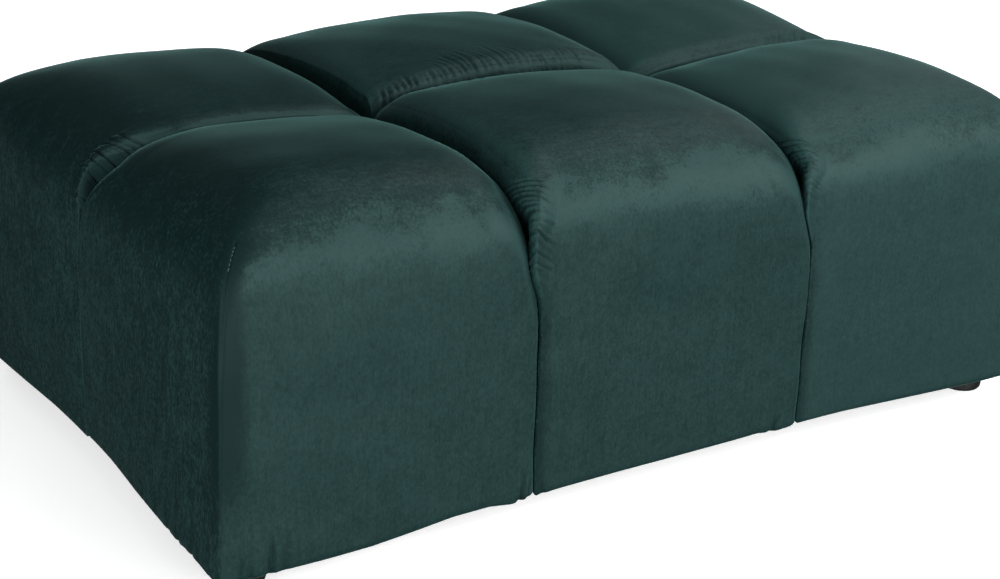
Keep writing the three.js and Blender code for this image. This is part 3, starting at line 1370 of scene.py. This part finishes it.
@dataclass
class Studio:
    """A plain pale floor, soft lights, and the camera at the photograph's angle.

    surround gives the grey of the surround at shares of the way from straight down to straight up.
    It is dimmed to beyond_level behind the footstool, as the camera sees it.
    """

    camera_place: tuple[float, float, float] = (-1.1853, -1.8311, 0.9816)
    yaw: float = 32.94
    pitch: float = 21.92
    roll: float = 1.868
    lens: float = 75.21
    sensor: float = 36
    floor_size: float = 60
    surround: tuple[tuple[float, float], ...] = (
        (0.0, 0.25), (0.48, 0.25), (0.53, 0.02), (0.66, 0.06), (0.74, 0.42),
    )
    beyond_level: float = 0.36
    lights: tuple[SoftLight, ...] = (
        SoftLight("key_light", (1.80, -1.95, 1.75), 1.3, 82),
        SoftLight("side_light", (2.4, 1.3, 1.4), 1.2, 4),
        SoftLight("high_light", (1.2, -0.1, 2.2), 1.2, 22),
        SoftLight("fill_light", (-2.3, -1.1, 0.25), 1.5, 52),
        SoftLight("low_light", (0.1, -2.6, 0.5), 1.6, 70),
        SoftLight("end_light", (2.9, 0.2, 0.40), 1.4, 26, gloss=False),
        SoftLight("back_light", (0.3, 2.9, 0.50), 1.4, 34, gloss=False),
    )

    def build(self) -> None:
        """Builds the floor, the surround, the lights and the camera."""
        self._floor()
        self._surround()
        for light in self.lights:
            light.build()
        self._camera()
        bpy.context.scene.view_settings.view_transform = "Standard"

    def _floor(self) -> None:
        """A wide flat floor."""
        bm = bmesh.new()
        bmesh.ops.create_grid(bm, x_segments=2, y_segments=2, size=self.floor_size / 2)
        mesh = as_mesh(bm, "studio_floor")
        mesh.materials.append(PaleFloor().material())
        floor = in_scene("studio_floor", mesh)
        floor.visible_diffuse = False
        floor.visible_glossy = False
        floor.visible_shadow = False

    def _surround(self) -> None:
        """Soft light from below and above, and a darker band between them."""
        desk = NodeDesk(bpy.data.worlds.new("studio_surround"), "Background")
        way = desk.add("ShaderNodeTexCoord").outputs["Generated"]
        upward = desk.add("ShaderNodeSeparateXYZ", None, {"Vector": way}).outputs["Z"]
        rising = desk.add("ShaderNodeMapRange", None, {"Value": upward, "From Min": -1}).outputs["Result"]
        stops = [(height, (level, level, level, 1)) for height, level in self.surround]
        levels = desk.add("ShaderNodeValToRGB", {"stops": stops}, {"Fac": rising}).outputs["Color"]
        yaw = math.radians(self.yaw)
        inputs = {0: way, 1: (math.sin(yaw), math.cos(yaw), 0)}
        beyond = desk.add("ShaderNodeVectorMath", {"operation": "DOT_PRODUCT"}, inputs).outputs["Value"]
        inputs = {
            "Value": beyond, "From Min": -0.4, "From Max": 0.5, "To Min": 1, "To Max": self.beyond_level,
        }
        dimming = desk.add("ShaderNodeMapRange", {"interpolation_type": "SMOOTHSTEP"}, inputs)
        bpy.context.scene.world = desk.finish({"Color": levels, "Strength": dimming.outputs["Result"]})

    def _camera(self) -> None:
        """The camera, turned by its yaw, pitch and roll."""
        data = bpy.data.cameras.new("camera")
        data.sensor_width = self.sensor
        data.lens = self.lens
        camera = in_scene("camera", data)
        turn = Matrix.Rotation(-math.radians(self.yaw), 4, "Z")
        tip = Matrix.Rotation(math.radians(90 - self.pitch), 4, "X")
        roll = Matrix.Rotation(math.radians(self.roll), 4, "Z")
        camera.matrix_world = Matrix.Translation(self.camera_place) @ turn @ tip @ roll
        bpy.context.scene.camera = camera


@dataclass
class Footstool:
    """The whole footstool: its blocks and its feet."""

    form: BlockForm = field(default_factory=BlockForm)

    def blocks(self) -> list[FilledBlock]:
        """The six blocks, with how each was filled and gathered."""
        form = self.form
        # Each block is given its own painted shade on its top, below nothing for painted light and lighter
        # towards the right, and two are given painted light on their fronts
        front_left = FilledBlock(
            "block_front_left", 0, 0, form, HandFilling(0.005, -0.005, -0.012, 0.003, 0.002),
            seed=11, painted_top_shading=0.1,
            creases=(
                Crease(Side.FRONT, -0.95, 0.000, 0.034, 0.0030, 0.0016, 0.10),
                Crease(Side.FRONT, -0.88, 0.000, 0.026, 0.0035, 0.0014, -0.15),
                Crease(Side.FRONT, -0.76, 0.000, 0.048, 0.0030, 0.0026, 0.05),
                Crease(Side.FRONT, -0.66, 0.002, 0.036, 0.0040, 0.0010, -0.10),
                Crease(Side.FRONT, 0.90, 0.000, 0.040, 0.0030, 0.0024, 0.20),
                Crease(Side.FRONT, 0.96, 0.004, 0.034, 0.0020, 0.0014, 0.10),
                Crease(Side.LEFT, 0.05, 0.006, 0.044, 0.0028, 0.0012, -0.10),
                Crease(Side.LEFT, -0.17, 0.010, 0.056, 0.0032, 0.0010),
                Crease(Side.LEFT, -0.34, 0.002, 0.046, 0.0045, 0.0014, -0.35),
                Crease(Side.LEFT, -0.48, 0.000, 0.026, 0.0030, 0.0022, -0.55),
                Crease(Side.LEFT, -0.68, 0.000, 0.030, 0.0035, 0.0012, -0.30),
            ),
            hems=(
                Hem(Side.FRONT, (-1, -0.7, -0.4, -0.1, 0.2, 0.45, 0.7, 0.84, 0.92, 1),
                    (0.003, 0.004, 0.006, 0.007, 0.005, 0.0025, 0.0035, 0.008, 0.007, 0.005)),
                Hem(Side.LEFT, (-1, -0.9, -0.7, -0.45, -0.1, 0.2, 0.6, 0.9, 1),
                    (0.002, 0.005, 0.0025, 0.004, 0.005, 0.005, 0.002, 0.0025, 0.003)),
            ),
        )
        front_middle = FilledBlock(
            "block_front_middle", 1, 0, form, HandFilling(0.007, -0.011, -0.002, 0.008, -0.004, 0.013),
            seed=12, painted_top_shading=-0.3,
            gathers=(
                Gather(Side.LEFT, 0.236, 0.352, 14, 0.024, 0.0015, -0.85),
                Gather(Side.LEFT, 0.060, 0.238, 11, 0.009, 0.0005, -0.30),
                Gather(Side.BACK, 0.050, 0.150, 10, 0.080, 0.0020),
            ),
            creases=(
                Crease(Side.FRONT, 0.80, 0.000, 0.030, 0.0040, 0.0016, 0.30),
                Crease(Side.FRONT, -0.93, 0.000, 0.030, 0.0030, 0.0010, -0.10),
            ),
            hems=(
                Hem(Side.FRONT, (-1, -0.8, -0.4, 0, 0.5, 0.7, 0.82, 1),
                    (0.006, 0.0045, 0.0035, 0.0035, 0.003, 0.0022, 0.005, 0.0055)),
            ),
        )
        front_right = FilledBlock(
            "block_front_right", 2, 0, form, HandFilling(-0.003, 0.002, -0.004, -0.004, 0.002, 0.012),
            seed=13, painted_top_shading=-1.6, painted_front_light=0.6,
            gathers=(
                Gather(Side.LEFT, 0.252, 0.356, 11, 0.020, 0.0014, -0.85),
                Gather(Side.LEFT, 0.060, 0.250, 10, 0.008, 0.0005, -0.30),
            ),
            hems=(
                Hem(Side.FRONT, (-1, -0.6, 0, 0.6, 1), (0.003, 0.002, 0.003, 0.004, 0.003)),
                Hem(Side.RIGHT),
            ),
        )
        back_left = FilledBlock(
            "block_back_left", 0, 1, form, HandFilling(-0.008, -0.004, -0.007, 0.004, -0.003, 0.008),
            seed=14, painted_top_shading=0.25, painted_front_light=2.2,
            gathers=(Gather(Side.FRONT, 0.245, 0.378, 12, 0.024, 0.0021, -0.35),),
            hems=(
                Hem(Side.LEFT, (-1, -0.5, 0, 0.5, 1), (0.006, 0.004, 0.005, 0.005, 0.004)),
                Hem(Side.BACK),
            ),
        )
        back_middle = FilledBlock(
            "block_back_middle", 1, 1, form, HandFilling(0, 0, -0.016, -0.009, 0.004, 0.0015),
            seed=15, painted_top_shading=-0.4,
            gathers=(
                Gather(Side.FRONT, 0.008, 0.088, 9, 0.018, 0.0013, -0.20),
                Gather(Side.FRONT, 0.086, 0.198, 14, 0.056, 0.0011, -0.38),
                Gather(Side.FRONT, 0.196, 0.262, 9, 0.022, 0.0010, -0.30),
            ),
            hems=(Hem(Side.BACK),),
        )
        back_right = FilledBlock(
            "block_back_right", 2, 1, form, HandFilling(-0.006, 0.003, 0, -0.002, 0, 0.0015),
            seed=16, painted_top_shading=-1.5,
            gathers=(Gather(Side.FRONT, 0.375, 0.450, 7, 0.022, 0.0013, 0.30),),
            hems=(Hem(Side.RIGHT), Hem(Side.BACK)),
        )
        return [front_left, front_middle, front_right, back_left, back_middle, back_right]

    @staticmethod
    def pieces(blocks: list[FilledBlock], velvet: bpy.types.Material) -> list[bpy.types.Object]:
        """Builds the blocks in order, each clear of the ones before it.

        Args:
            blocks: the blocks.
            velvet: their finish.

        Returns:
            The finished pieces.
        """
        made, surfaces = [], []
        for block in blocks:
            made.append(block.build(velvet, surfaces))
            bm = bmesh.new()
            bm.from_mesh(made[-1].data)
            surfaces.append(BVHTree.FromBMesh(bm))
            bm.free()
        return made

    def build(self) -> None:
        """Builds the blocks and dresses the feet."""
        velvet = Velvet().material()
        blocks = self.blocks()
        Filling().press(blocks)
        for piece in self.pieces(blocks, velvet):
            log.info("%s has %d faces", piece.name, len(piece.data.polygons))
        stitches = DartStitches(blocks[0]).build(Thread().material())
        log.info("%s has %d faces", stitches.name, len(stitches.data.polygons))
        Feet().dress(MouldedPlastic().material())


def main() -> None:
    """Builds the footstool and its studio, in order."""
    logging.basicConfig(level=logging.INFO, format="%(name)s: %(message)s")
    Footstool().build()
    Studio().build()


if __name__ == "__main__":
    main()
